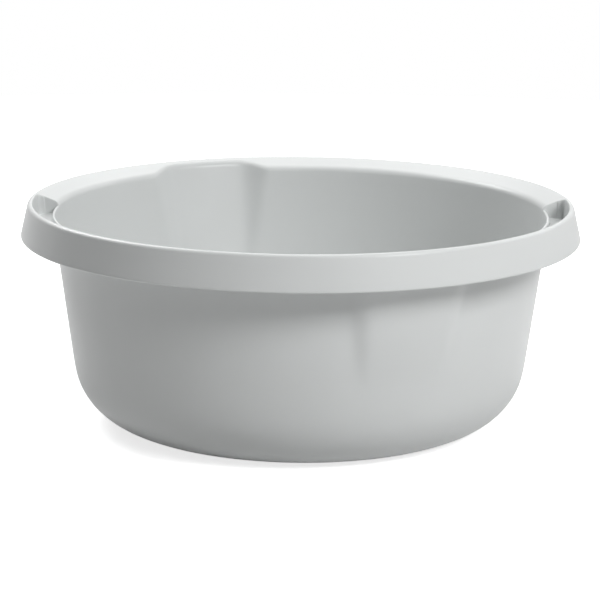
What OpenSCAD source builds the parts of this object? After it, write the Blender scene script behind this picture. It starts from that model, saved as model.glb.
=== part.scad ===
// Round washing up bowl, one injection moulding in light grey polypropylene.
// The origin is the centre of the base's resting face, +Z is up and +X is to the right
// as the bowl is seen from its front, which faces -Y.

/* [Basin] */
// Height of the rim's top above the resting face
bowl_h = 142.5; // [110:0.5:180]
// Thickness of the basin's wall
wall_t = 1.8; // [1.4:0.1:3]
// Thickness of the basin's floor
floor_t = 2; // [1.4:0.1:4]
// Lean of the wall from upright, which frees it from its mould
wall_draft = 7.45; // [4:0.05:10]
// Outside radius between the wall and the base
corner_r = 41; // [20:1:55]
// Radius where the wall rolls over into the rim
mouth_r = 5.3; // [3:0.1:7]

/* [Rim] */
// Diameter across the rim where its top and its skirt would meet in a sharp corner
rim_d = 350; // [300:1:420]
// Width of the rim from that corner to the outside of the wall
rim_w = 14.4; // [12:0.1:20]
// Fall of the rim's top towards the basin
rim_slope = 21; // [12:0.5:24]
// Thickness of the rim's top and of the skirt
rim_t = 2; // [1.4:0.1:3]
// Radius of the rim's outer edge
edge_r = 2.6; // [1.5:0.1:3.5]
// Depth of the skirt below the rim's top
skirt_h = 21.5; // [18:0.5:35]
// Lean of the skirt from upright, outwards going down
skirt_flare = 13.25; // [5:0.25:18]
// Radius inside the corner between the rim's top and the skirt
skirt_fillet = 2; // [1:0.1:3]

/* [Grip pockets] */
// Angle behind the X axis at which each pocket ends
pocket_back = 4.7; // [2:0.1:12]
// Angle in front of the X axis at which each pocket ends
pocket_front = 37; // [25:0.5:45]
// Depth of the pocket's floor below the rim's top, beside the basin
pocket_depth = 12.8; // [10:0.1:14]
// Further drop of that floor towards the skirt
pocket_fall = 1; // [0:0.1:2.5]
// Depth below the rim's top of the sill between the pocket and the basin
sill_depth = 7.9; // [6:0.1:9]
// Radius of the sill's edge over the pocket
sill_r = 0.9; // [0.4:0.1:1.4]
// Width of the lip that is left of the rim's top beside a pocket
lip_w = 3.1; // [2.4:0.1:4]
// Lean of the lip's inner face from upright
lip_draft = 3; // [1:0.5:6]
// Thickness of the pocket's floor, end walls and outer wall
pocket_t = 1.8; // [1.4:0.1:2.5]

/* [Flutes] */
// Angle of the first flute's middle from the X axis, with the second one opposite
flute_angle = 114.5; // [100:0.5:125]
// Depth of a flute at the rim, measured outwards from the wall
flute_depth = 8.4; // [4:0.1:9]
// Length of a flute below the rim's top
flute_len = 87; // [50:1:100]
// Half width of a flute's even face, as an angle about the bowl's axis
flute_face = 9; // [4:0.1:10]
// Half width of a whole flute at the rim, as an angle about the bowl's axis
flute_half = 17.4; // [12:0.1:20]

/* [Hidden] */
$fn = 180;

bowl_colour = [0.79, 0.81, 0.80];
overlap = 1;
arc_step = 6;
flute_steps = 24;
rim_r = rim_d / 2;
wall_r = rim_r - rim_w;
lean = tan(wall_draft);
slope = tan(rim_slope);
flare = tan(skirt_flare);
// A flute's solid reaches inwards to this radius, well inside the wall
core_r = wall_r - 2 * rim_w;

// Outside radius of the wall at a depth below the rim's top
function wall_out(depth) = wall_r - depth * lean;

// Inside radius of the wall at a depth below the rim's top
function wall_in(depth) = wall_out(depth) - wall_t / cos(wall_draft);

// Outside radius of the skirt at a depth below the rim's top
function skirt_out(depth) = rim_r + depth * flare;

// Point at a radius and an angle
function polar(r, a) = [r * cos(a), r * sin(a)];

// Points of an arc about a centre, from one angle to another
function arc(centre, r, from, to) =
    let (steps = ceil(abs(to - from) / arc_step))
    [for (i = [0 : steps]) centre + polar(r, from + (to - from) * i / steps)];

// The rim's outer edge is an arc that touches the level of the rim's top and the skirt
edge_centre = [rim_r - edge_r * tan(45 - skirt_flare / 2), bowl_h - edge_r];

// Height of the rim's sloping top and of its underside at a radius
function rim_top(r) = edge_centre[1] + edge_r / cos(rim_slope) + (r - edge_centre[0]) * slope;
function rim_under(r) = rim_top(r) - rim_t / cos(rim_slope);
function rim_middle(r) = (rim_top(r) + rim_under(r)) / 2;

// Where a line that leans by k from radius r0 at the rim's top meets one at the rim's slope
// that has height z0 on the bowl's axis
function meeting(r0, k, z0) =
    let (depth = (bowl_h - z0 - r0 * slope) / (1 - k * slope))
    [r0 - depth * k, bowl_h - depth];

// The wall's inside rolls over into the rim's top on this arc
mouth_centre = meeting(
    wall_in(0) + mouth_r / cos(wall_draft),
    lean,
    rim_top(0) - mouth_r / cos(rim_slope)
);
mouth_arc = arc(mouth_centre, mouth_r, 180 - wall_draft, 90 + rim_slope);

// The skirt's inside meets the rim's underside on this arc
fillet_centre = meeting(
    rim_r - (rim_t + skirt_fillet) / cos(skirt_flare),
    -flare,
    rim_under(0) - skirt_fillet / cos(rim_slope)
);
fillet_arc = arc(fillet_centre, skirt_fillet, skirt_flare, 90 + rim_slope);

// Radius of the lip's inner face at a depth below the rim's top
function lip_in(depth) = rim_r - lip_w - depth * tan(lip_draft);

// Outline of a basin from its axis: a floor, a round corner and the foot of a leaning wall
function basin_outline(r0, floor_z, radius) =
    let (
        centre_z = floor_z + radius,
        centre_r = r0 - (bowl_h - centre_z) * lean - radius / cos(wall_draft)
    )
    concat([[0, floor_z]], arc([centre_r, centre_z], radius, -90, -wall_draft));

// Share of a flute's depth that is left at an angle from its middle
function flute_share(a) =
    let (edge = max(0, (abs(a) - flute_face) / (flute_half - flute_face)))
    (1 + cos(180 * min(1, edge))) / 2;

// One flute as a leaning prism, whose face stands out from a wall that has radius r0 at the
// rim's top and sinks back into that wall at the flute's foot
module flute(r0) {
    face_r = r0 + flute_depth;
    face_lean = atan(lean + flute_depth / flute_len);
    below = (flute_len + overlap) / cos(face_lean);
    face = [for (i = [0 : flute_steps])
        let (a = flute_half * (2 * i / flute_steps - 1))
        polar(r0 + flute_depth * flute_share(a), a)];
    section = concat([polar(core_r, flute_half), polar(core_r, -flute_half)], face);
    translate([face_r, 0, bowl_h])
        rotate([0, face_lean, 0])
        translate([0, 0, -below])
        linear_extrude(below + mouth_r)
        polygon([for (p = section) [(p[0] - face_r) * cos(face_lean), p[1]]]);
}

// The outside of one flute, up into the thickness of the rim
module flute_outside() {
    intersection() {
        flute(wall_r);
        rotate_extrude()
            polygon([[0, 0], [rim_r, 0], [rim_r, rim_middle(rim_r)], [0, rim_middle(0)]]);
    }
}

// The inside of one flute, up through the rim's top
module flute_inside() {
    flute(wall_in(0));
}

// Both flutes, opposite each other
module at_flutes() {
    for (turn = [0, 180])
        rotate([0, 0, flute_angle + turn])
        children();
}

// The rim's sloping top, its rounded edge and the skirt that hangs from it
module rim() {
    hem_r = rim_t / 2;
    hem_depth = skirt_h - hem_r;
    hem_centre = [skirt_out(hem_depth) - hem_r / cos(skirt_flare), bowl_h - hem_depth];
    root_r = wall_in(0) - overlap;
    rotate_extrude()
        polygon(concat(
            [[root_r, rim_under(root_r)], [root_r, rim_top(root_r)]],
            arc(edge_centre, edge_r, 90 + rim_slope, skirt_flare),
            arc(hem_centre, hem_r, skirt_flare, skirt_flare - 180),
            fillet_arc
        ));
}

// Upright sector over the angle of a right hand grip pocket, longer by extra at each end
module pocket_span(extra) {
    back = pocket_back + extra;
    front = -pocket_front - extra;
    far_r = 2 * rim_r;
    linear_extrude(bowl_h + overlap)
        polygon([[0, 0], polar(far_r, front), polar(far_r, (back + front) / 2), polar(far_r, back)]);
}

// The body of one pocket below the rim's top: its floor, its end walls and its outer wall
module pocket_tub() {
    floor_z = bowl_h - pocket_depth - pocket_t;
    side_r = lip_in(pocket_depth + pocket_fall) + pocket_t;
    half_r = (wall_r + side_r) / 2;
    root_r = wall_out(pocket_depth) - wall_t / 2;
    intersection() {
        rotate_extrude()
            polygon([
                [root_r, floor_z],
                [half_r, floor_z],
                [side_r, floor_z - pocket_fall],
                [side_r, rim_middle(side_r)],
                [root_r, rim_middle(root_r)]
            ]);
        pocket_span(pocket_t / wall_r * 180 / PI);
    }
}

// The space in one pocket, from its floor up through the rim's top and over the sill
module pocket_space() {
    sill_z = bowl_h - sill_depth;
    inner_r = wall_in(sill_depth) - mouth_r;
    half_r = (wall_r + rim_r - lip_w) / 2;
    foot = pocket_depth + pocket_fall;
    intersection() {
        rotate_extrude()
            polygon(concat(
                [[inner_r, bowl_h + overlap], [inner_r, sill_z]],
                arc([wall_out(sill_depth) - sill_r, sill_z - sill_r], sill_r, 90, 0),
                [
                    [wall_out(pocket_depth), bowl_h - pocket_depth],
                    [half_r, bowl_h - pocket_depth],
                    [lip_in(foot), bowl_h - foot],
                    [lip_in(-overlap), bowl_h + overlap]
                ]
            ));
        pocket_span(0);
    }
}

// Both grip pockets, mirror images of each other
module at_pockets() {
    children();
    mirror([1, 0, 0])
        children();
}

// The basin's outside, up into the thickness of the rim
module basin_outside() {
    top_z = rim_middle(wall_r);
    rotate_extrude()
        polygon(concat(
            basin_outline(wall_r, 0, corner_r),
            [[wall_out(bowl_h - top_z), top_z], [0, top_z]]
        ));
}

// The basin's inside, up through the mouth
module basin_inside() {
    mouth_top = mouth_arc[len(mouth_arc) - 1];
    rotate_extrude()
        polygon(concat(
            basin_outline(wall_in(0), floor_t, corner_r - wall_t),
            mouth_arc,
            [[mouth_top[0], bowl_h + overlap], [0, bowl_h + overlap]]
        ));
}

// The whole moulding
module bowl() {
    color(bowl_colour)
        difference() {
            union() {
                basin_outside();
                at_flutes() flute_outside();
                rim();
                at_pockets() pocket_tub();
            }
            basin_inside();
            at_flutes() flute_inside();
            at_pockets() pocket_space();
        }
}

bowl();
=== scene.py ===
from math import atan, atan2, cos, hypot, pi, radians, sin, sqrt, tan

import bmesh
import bpy
from mathutils import Matrix, Vector


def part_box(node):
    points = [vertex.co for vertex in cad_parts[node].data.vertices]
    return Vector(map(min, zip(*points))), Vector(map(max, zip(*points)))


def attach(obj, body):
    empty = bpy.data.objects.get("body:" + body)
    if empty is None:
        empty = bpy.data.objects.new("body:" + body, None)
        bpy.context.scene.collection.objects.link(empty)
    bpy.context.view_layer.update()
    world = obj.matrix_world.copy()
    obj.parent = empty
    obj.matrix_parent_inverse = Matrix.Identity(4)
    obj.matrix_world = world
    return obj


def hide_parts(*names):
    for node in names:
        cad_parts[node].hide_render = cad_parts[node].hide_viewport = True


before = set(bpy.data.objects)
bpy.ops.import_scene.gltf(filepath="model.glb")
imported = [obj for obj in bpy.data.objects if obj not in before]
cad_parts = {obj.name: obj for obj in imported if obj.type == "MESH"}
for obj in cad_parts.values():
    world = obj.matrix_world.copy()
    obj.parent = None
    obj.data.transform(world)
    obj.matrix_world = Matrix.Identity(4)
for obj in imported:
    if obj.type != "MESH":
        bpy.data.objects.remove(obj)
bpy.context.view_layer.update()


# The bowl is one injection moulding in light grey polypropylene with an even wall. It
# leaves its mould upwards, so the wall and the two flutes lean outwards going up, and the
# skirt that stiffens the rim leans outwards going down.

bowl_foot, bowl_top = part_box("bowl")
height = bowl_top[2] - bowl_foot[2]
reach = (bowl_top[0] - bowl_foot[0]) / 2
plastic = 0.0018
floor_thickness = 0.002
rim_plastic = 0.002
corner_radius = 0.041
wall_lean = tan(radians(7.45))
mouth_radius = 0.0053
rim_width = 0.0144
rim_slope = radians(21)
edge_radius = 0.0026
root_radius = 0.001
skirt_lean = radians(13.25)
skirt_depth = 0.0215
skirt_fillet = 0.002
hem_radius = rim_plastic / 2
hem_depth = skirt_depth - hem_radius
rim_radius = reach - hem_radius + hem_radius / cos(skirt_lean) - hem_depth * tan(skirt_lean)
wall_radius = rim_radius - rim_width

flute_azimuths = (radians(114.5), radians(294.5))
flute_depth = 0.0084
flute_length = 0.087
flute_face = radians(9)
flute_half = radians(17.4)
flute_softness = 0.0003

pocket_back = radians(4.6)
pocket_front = radians(37)
pocket_depth = 0.0128
pocket_fall = 0.001
pocket_plastic = 0.0018
sill_depth = 0.0079
sill_edge = 0.0008
lip_width = 0.0031
lip_draft = tan(radians(3))
lip_edge = 0.0008
lip_turn = radians(12)
pocket_fillet = 0.001
pocket_corner = 0.004
end_step = radians(0.36)
slot_radius = 0.0007
slot_depth = 0.0095


def on_circle(centre, radius, angle):
    """A point on a circle in the plane of the bowl's section, as a radius and a height."""
    return Vector((centre[0] + radius * cos(angle), centre[1] + radius * sin(angle)))


def arc(centre, radius, start, end, points):
    """Points of an arc from one angle to another."""
    turn = (end - start) / (points - 1)
    return [on_circle(centre, radius, start + turn * i) for i in range(points)]


def between(start, end, points):
    """Points evenly spaced between two points, both left out."""
    return [start.lerp(end, (i + 1) / (points + 1)) for i in range(points)]


def smooth_step(amount):
    """Rises from 0 to 1 without a corner as the amount does."""
    held = min(1, max(0, amount))
    return held * held * held * (held * (held * 6 - 15) + 10)


edge_setback = edge_radius * tan(pi / 4 - skirt_lean / 2)
edge_centre = Vector((rim_radius - edge_setback, height - edge_radius))


def rim_height(radius, sunk=0):
    """Height at a radius of the rim's sloping top, or of a line that lies deeper in it."""
    level = edge_centre[1] + (edge_radius - sunk) / cos(rim_slope)
    return level + (radius - edge_centre[0]) * tan(rim_slope)


def meeting(radius, lean, sunk):
    """Where a line that starts at a radius at the rim's height meets a line along the rim."""
    fall = height - rim_height(radius, sunk)
    depth = fall / (1 - lean * tan(rim_slope))
    return Vector((radius - depth * lean, height - depth))


def bulge(share, depth):
    """How far a flute stands out of the wall at a depth, and how fast it sinks back there."""
    if share == 0:
        return 0, 0
    fade = flute_depth / flute_length
    proud = flute_depth * share - depth * fade
    rounded = sqrt(proud * proud + flute_softness * flute_softness)
    return (proud + rounded) / 2, (1 + proud / rounded) / 2 * fade


def wall_at(share, depth, inset=0):
    """Radius of the wall's outside at a depth below the rim, or of a face inside it."""
    plain = wall_radius - inset / cos(atan(wall_lean)) - depth * wall_lean
    return plain + bulge(share, depth)[0]


# Depths of the wall's points below the rim, closer together where the flutes fade out
wall_depths = (
    0.0945, 0.0905, 0.0882, 0.0868, 0.0855, 0.083, 0.077, 0.065, 0.05, 0.034, 0.021, 0.0135
)
wall_top_depth = 0.008
floor_points = 3
corner_points = 9
mouth_points = 9
rim_points = 9
rim_spacing = 0.00015
edge_points = 9
skirt_points = 3
hem_points = 7
fillet_points = 6
under_points = 3
root_points = 4
# Points of a pocket's rounded edges, which add up to those of the rim that it takes away
sill_points = 4
foot_points = 3
tub_points = 4


def basin_corner(inset, floor):
    """Points of the round corner between a face of the floor and the same face of the wall."""
    radius = corner_radius - inset
    level = floor + radius
    centre = (wall_at(0, height - level, inset) - radius / cos(atan(wall_lean)), level)
    return arc(centre, radius, -pi / 2, -atan(wall_lean), corner_points)


def skirt_face(depth, inset=0):
    """A point at a depth on the skirt's outside, or on a face inside it."""
    return Vector((rim_radius - inset / cos(skirt_lean) + depth * tan(skirt_lean), height - depth))


def rim_section(share, radii):
    """Top and underside of the bowl's mouth and rim, with rim points near the given radii."""
    lean = wall_lean + bulge(share, wall_top_depth)[1]
    inner = wall_at(share, wall_top_depth, plastic) + wall_top_depth * lean
    outer = wall_at(share, wall_top_depth) + wall_top_depth * lean
    mouth_centre = meeting(inner + mouth_radius / cos(atan(lean)), lean, mouth_radius)
    mouth = arc(mouth_centre, mouth_radius, pi - atan(lean), pi / 2 + rim_slope, mouth_points)
    edge = arc(edge_centre, edge_radius, pi / 2 + rim_slope, skirt_lean, edge_points)
    top = list(mouth)
    for number, radius in enumerate(radii, 1):
        low = mouth[-1][0] + number * rim_spacing
        high = edge[0][0] - (rim_points + 1 - number) * rim_spacing
        held = min(high, max(low, radius))
        top.append(Vector((held, rim_height(held))))
    top += edge
    fillet_start = rim_radius - (rim_plastic + skirt_fillet) / cos(skirt_lean)
    fillet_centre = meeting(fillet_start, -tan(skirt_lean), rim_plastic + skirt_fillet)
    fillet = arc(fillet_centre, skirt_fillet, skirt_lean, pi / 2 + rim_slope, fillet_points)
    root_centre = meeting(outer + root_radius / cos(atan(lean)), lean, rim_plastic + root_radius)
    root = arc(root_centre, root_radius, pi / 2 + rim_slope, pi - atan(lean), root_points)
    return top, fillet + between(fillet[-1], root[0], under_points) + root


def pocket_section(drawn_in):
    """The same, point for point, in a pocket that is sunk into the rim, with its lip drawn in."""
    sill = height - sill_depth
    floor = height - pocket_depth
    inner = wall_at(0, sill_depth, plastic)
    outer = wall_at(0, sill_depth)
    foot = pocket_depth + pocket_fall
    lip_face = rim_radius - lip_width - drawn_in
    lip_foot = lip_face - foot * lip_draft
    middle = Vector(((outer + lip_foot) / 2, floor))
    fall = atan(pocket_fall / (lip_foot - middle[0]))
    sill_level = sill - sill_edge
    top = arc((inner + sill_edge, sill_level), sill_edge, pi - atan(wall_lean), pi / 2, sill_points)
    top += arc((outer - sill_edge, sill_level), sill_edge, pi / 2, 0, sill_points)
    near = (outer + pocket_fillet, floor + pocket_fillet)
    top += arc(near, pocket_fillet, pi, 3 * pi / 2, foot_points) + [middle]
    far = (lip_foot - pocket_fillet, height - foot + pocket_fillet * tan(pi / 4 + fall / 2))
    top += arc(far, pocket_fillet, 3 * pi / 2 - fall, 2 * pi, foot_points)
    lip_side = Vector((lip_face, rim_height(lip_face) - lip_edge))
    top += between(top[-1], lip_side, 1) + [lip_side]
    edge = arc(edge_centre, edge_radius, pi / 2 + lip_turn, skirt_lean, edge_points)
    lip_top = min(lip_face + lip_edge, edge[0][0] - rim_spacing)
    top += [Vector((lip_top, rim_height(lip_top)))] + edge
    tub = lip_foot + drawn_in + pocket_plastic
    under = height - pocket_depth - pocket_plastic
    low_under = under - pocket_fall
    slot_side = skirt_face(slot_depth, rim_plastic)
    slot_centre = (slot_side[0] - slot_radius, slot_side[1])
    below = [slot_side] + arc(slot_centre, slot_radius, pi / 4, pi, tub_points)
    tub_corner = (tub - pocket_fillet, low_under + pocket_fillet)
    below += arc(tub_corner, pocket_fillet, 0, -pi / 2, tub_points)
    below += [Vector(((outer + tub) / 2, under))]
    root = (wall_at(0, pocket_depth + pocket_plastic) + root_radius, under - root_radius)
    below += arc(root, root_radius, pi / 2, pi - atan(wall_lean), foot_points)
    return top, below


def whole_section(share, pocket_top=0, pocket_under=0, drawn_in=pocket_corner):
    """The bowl's closed section at one azimuth, from the axis over the rim to the axis."""
    sunk_top, sunk_under = pocket_section(drawn_in)
    sunk_radii = [point[0] for point in sunk_top[mouth_points : mouth_points + rim_points]]
    top, under = rim_section(share, sunk_radii)
    if pocket_top > 0:
        top = [a.lerp(b, pocket_top) for a, b in zip(top, sunk_top)]
    if pocket_under > 0:
        under = [a.lerp(b, pocket_under) for a, b in zip(under, sunk_under)]
    inside = basin_corner(plastic, floor_thickness)
    outside = basin_corner(0, 0)
    section = [Vector((0, floor_thickness))]
    section += between(section[0], inside[0], floor_points) + inside
    section += [Vector((wall_at(share, depth, plastic), height - depth)) for depth in wall_depths]
    section += top
    hem_centre = skirt_face(hem_depth, hem_radius)
    hem = arc(hem_centre, hem_radius, skirt_lean, skirt_lean - pi, hem_points)
    section += between(top[-1], hem[0], skirt_points) + hem
    section += between(hem[-1], under[0], skirt_points) + under
    section += [Vector((wall_at(share, depth), height - depth)) for depth in reversed(wall_depths)]
    centre = Vector((0, 0))
    section += outside[::-1] + between(outside[0], centre, floor_points) + [centre]
    return section


def turned(angle):
    """The same angle between half a turn backwards and half a turn forwards."""
    return atan2(sin(angle), cos(angle))


def flute_share(azimuth):
    """Share of a flute's depth at an azimuth."""
    away = min(abs(turned(azimuth - middle)) for middle in flute_azimuths)
    edge = min(1, max(0, (away - flute_face) / (flute_half - flute_face)))
    return (1 + cos(pi * edge)) / 2 if edge < 1 else 0


def right_hand(azimuth):
    """The azimuth on the right hand side that mirrors or equals this one."""
    return turned(azimuth) if cos(azimuth) > 0 else turned(pi - azimuth)


def pocket_share(azimuth, wider=0):
    """How much of a grip pocket a section has, with its end walls as steep smooth steps."""
    from_back = pocket_back + wider - right_hand(azimuth)
    from_front = right_hand(azimuth) + pocket_front + wider
    return smooth_step(0.5 + from_back / end_step) * smooth_step(0.5 + from_front / end_step)


lip_radius = rim_radius - lip_width


def lip_drawn_in(azimuth):
    """How far the round corner at a pocket's end draws the lip's inner face inwards."""
    near_end = min(pocket_back - right_hand(azimuth), right_hand(azimuth) + pocket_front)
    from_wall = (near_end - end_step / 2) * lip_radius
    turned_in = min(1, max(0, 1 - from_wall / pocket_corner))
    return pocket_corner * (1 - sqrt(1 - turned_in * turned_in))


end_wall = pocket_plastic / wall_radius
plain_step = radians(4)
flute_step = radians(1.3)
least_step = radians(1.4)
# Angles from a pocket's end to the sections near it, across both faces of its end wall and
# around the lip's corner
end_offsets = [radians(a) for a in (-3, -0.18, -0.1, -0.045, 0, 0.045, 0.1, 0.2)]
for turn in (0, 10, 20, 30, 42, 55, 70):
    end_offsets.append(-end_step / 2 - pocket_corner * (1 - sin(radians(turn))) / lip_radius)
for offset in (-0.2, -0.1, -0.045, 0, 0.045, 0.1, 0.2, 0.6, 1.8):
    end_offsets.append(end_wall + radians(offset))


def column_azimuths():
    """Azimuths of the sections, closer together at the pockets' ends and on the flutes."""
    close = []
    for offset in end_offsets:
        for azimuth in (pocket_back + offset, -pocket_front - offset):
            close += [azimuth, pi - azimuth]
    for middle in flute_azimuths:
        steps = round(flute_half / flute_step)
        close += [middle + i * flute_step for i in range(-steps, steps + 1)]
    close = [angle % (2 * pi) for angle in close]
    plain = [i * plain_step for i in range(round(2 * pi / plain_step))]
    kept = [a for a in plain if min(abs(turned(a - b)) for b in close) > least_step]
    return sorted(close + kept)


azimuths = column_azimuths()
sections = [
    whole_section(flute_share(a), pocket_share(a), pocket_share(a, end_wall), lip_drawn_in(a))
    for a in azimuths
]

# A plain section is spun about the axis, and every copy of it then takes its own shape
shell = bmesh.new()
station = shell.verts.layers.int.new("station")
plain_section = whole_section(0)
rib = []
for number, point in enumerate(plain_section):
    vertex = shell.verts.new((point[0], 0, point[1]))
    vertex[station] = number
    rib.append(vertex)
rib += [shell.edges.new(pair) for pair in zip(rib, rib[1:])]
columns = len(azimuths)
bmesh.ops.spin(
    shell,
    geom=rib,
    cent=(0, 0, 0),
    axis=(0, 0, 1),
    angle=2 * pi,
    steps=columns,
    use_merge=True,
)
for vertex in shell.verts:
    if hypot(vertex.co[0], vertex.co[1]) > 0:
        column = round(atan2(vertex.co[1], vertex.co[0]) / (2 * pi) * columns) % columns
        radius, level = sections[column][vertex[station]]
        azimuth = azimuths[column]
        vertex.co = (radius * cos(azimuth), radius * sin(azimuth), level)
bmesh.ops.remove_doubles(shell, verts=shell.verts, dist=1e-6)
bmesh.ops.recalc_face_normals(shell, faces=shell.faces)
for face in shell.faces:
    face.smooth = True
mesh = bpy.data.meshes.new("bowl_shell")
shell.to_mesh(mesh)
shell.free()
bowl = bpy.data.objects.new("bowl_shell", mesh)
bpy.context.collection.objects.link(bowl)
finish = bowl.modifiers.new("soft_edges", "SUBSURF")
finish.levels = 1
finish.render_levels = 1

plastic_grey = (0.6, 0.615, 0.612)
tint_change = 0.01
polypropylene = bpy.data.materials.new("satin_polypropylene")
polypropylene.use_nodes = True
nodes = polypropylene.node_tree.nodes
links = polypropylene.node_tree.links
shader = nodes["Principled BSDF"]
shader.inputs["Specular IOR Level"].default_value = 0.3
shader.inputs["IOR"].default_value = 1.49
place = nodes.new("ShaderNodeTexCoord")


def noise(scale, detail):
    """A noise pattern on the object's own coordinates."""
    pattern = nodes.new("ShaderNodeTexNoise")
    pattern.inputs["Scale"].default_value = scale
    pattern.inputs["Detail"].default_value = detail
    links.new(place.outputs["Object"], pattern.inputs["Vector"])
    return pattern


def spread(pattern, low, high):
    """The pattern's strength between two values."""
    change = nodes.new("ShaderNodeMapRange")
    change.inputs["From Min"].default_value = 0.3
    change.inputs["From Max"].default_value = 0.7
    change.inputs["To Min"].default_value = low
    change.inputs["To Max"].default_value = high
    links.new(pattern.outputs["Fac"], change.inputs["Value"])
    return change


flow = noise(9, 2)
tint = nodes.new("ShaderNodeMix")
tint.data_type = "RGBA"
tint.inputs["A"].default_value = [c * (1 - tint_change) for c in plastic_grey] + [1]
tint.inputs["B"].default_value = [c * (1 + tint_change) for c in plastic_grey] + [1]
links.new(spread(flow, 0, 1).outputs["Result"], tint.inputs["Factor"])
links.new(tint.outputs["Result"], shader.inputs["Base Color"])
links.new(spread(noise(55, 3), 0.3, 0.33).outputs["Result"], shader.inputs["Roughness"])
grain = nodes.new("ShaderNodeBump")
grain.inputs["Strength"].default_value = 0.03
grain.inputs["Distance"].default_value = 0.0002
links.new(noise(420, 2).outputs["Fac"], grain.inputs["Height"])
links.new(grain.outputs["Normal"], shader.inputs["Normal"])
mesh.materials.append(polypropylene)
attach(bowl, "root")
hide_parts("bowl")


# The bowl stands on a round white studio table in white air. Both show as white to the
# camera and in the gloss of the plastic, and the lamps give all other light.

table_radius = 1.6
table_glow = 0.75
table_gloss = 0.3


def shown_rays(tree, in_gloss):
    """1 on the camera's rays, and a share of it on those that show the studio in gloss."""
    ray = tree.nodes.new("ShaderNodeLightPath")
    shown = ray.outputs["Is Camera Ray"]
    for other in ("Is Glossy Ray", "Is Transmission Ray"):
        share = tree.nodes.new("ShaderNodeMath")
        share.operation = "MULTIPLY"
        share.inputs[1].default_value = in_gloss
        tree.links.new(ray.outputs[other], share.inputs[0])
        either = tree.nodes.new("ShaderNodeMath")
        either.operation = "MAXIMUM"
        tree.links.new(shown, either.inputs[0])
        tree.links.new(share.outputs["Value"], either.inputs[1])
        shown = either.outputs["Value"]
    return shown


table_mesh = bpy.data.meshes.new("studio_table")
table_shape = bmesh.new()
bmesh.ops.create_circle(table_shape, cap_ends=True, segments=96, radius=table_radius)
table_shape.to_mesh(table_mesh)
table_shape.free()
table = bpy.data.objects.new("studio_table", table_mesh)
bpy.context.collection.objects.link(table)
white = bpy.data.materials.new("studio_white")
white.use_nodes = True
white_nodes = white.node_tree.nodes
white_links = white.node_tree.links
paint = white_nodes["Principled BSDF"]
paint.inputs["Base Color"].default_value = (0.8, 0.8, 0.8, 1)
paint.inputs["Roughness"].default_value = 0.9
paint.inputs["Specular IOR Level"].default_value = 0
glow = white_nodes.new("ShaderNodeEmission")
dimmed = white_nodes.new("ShaderNodeMath")
dimmed.operation = "MULTIPLY"
dimmed.inputs[1].default_value = table_glow
white_links.new(shown_rays(white.node_tree, table_gloss), dimmed.inputs[0])
white_links.new(dimmed.outputs["Value"], glow.inputs["Strength"])
both = white_nodes.new("ShaderNodeAddShader")
white_links.new(paint.outputs["BSDF"], both.inputs[0])
white_links.new(glow.outputs["Emission"], both.inputs[1])
white_links.new(both.outputs["Shader"], white_nodes["Material Output"].inputs["Surface"])
table_mesh.materials.append(white)

sky = bpy.data.worlds.new("studio_air")
bpy.context.scene.world = sky
sky.use_nodes = True
air = sky.node_tree.nodes["Background"]
air.inputs["Color"].default_value = (1, 1, 1, 1)
sky.node_tree.links.new(shown_rays(sky.node_tree, 1), air.inputs["Strength"])


def soft_box(name, place_at, size, power):
    """A square studio light that faces the middle of the bowl."""
    light = bpy.data.lights.new(name, "AREA")
    light.shape = "SQUARE"
    light.size = size
    light.energy = power
    lamp = bpy.data.objects.new(name, light)
    bpy.context.collection.objects.link(lamp)
    lamp.location = place_at
    aim = Vector((0, 0, height / 2)) - Vector(place_at)
    lamp.rotation_euler = aim.to_track_quat("-Z", "Y").to_euler()


soft_box("key_light", (0.985, -0.985, 1.045), 0.5, 16.5)
soft_box("front_light", (0.445, -1.224, 1.163), 0.5, 4)
soft_box("back_left_light", (-0.85, 0.85, 1.272), 0.8, 17)
soft_box("back_light", (0, 1.202, 1.272), 0.8, 3.5)
soft_box("top_light", (0.05, 0.05, 1.7), 0.5, 7)
soft_box("back_right_light", (0.921, 0.921, 1.163), 0.8, 4)


# The camera stands in front of the bowl and a little above it, as in the photograph. Its
# place, tilt, roll and lens come from the ellipses of the rim, the skirt and the foot.

camera_place = (0, -1.3522, 0.3887)
camera_data = bpy.data.cameras.new("camera")
camera = bpy.data.objects.new("camera", camera_data)
bpy.context.collection.objects.link(camera)
camera_data.sensor_width = 36
camera_data.lens = 127.77
camera_data.clip_end = 20
tilt = radians(90 - 13.02)
roll = radians(0.54)
facing = Matrix.Rotation(tilt, 4, "X") @ Matrix.Rotation(roll, 4, "Z")
camera.matrix_world = Matrix.Translation(camera_place) @ facing
bpy.context.scene.camera = camera
bpy.context.scene.view_settings.view_transform = "Standard"
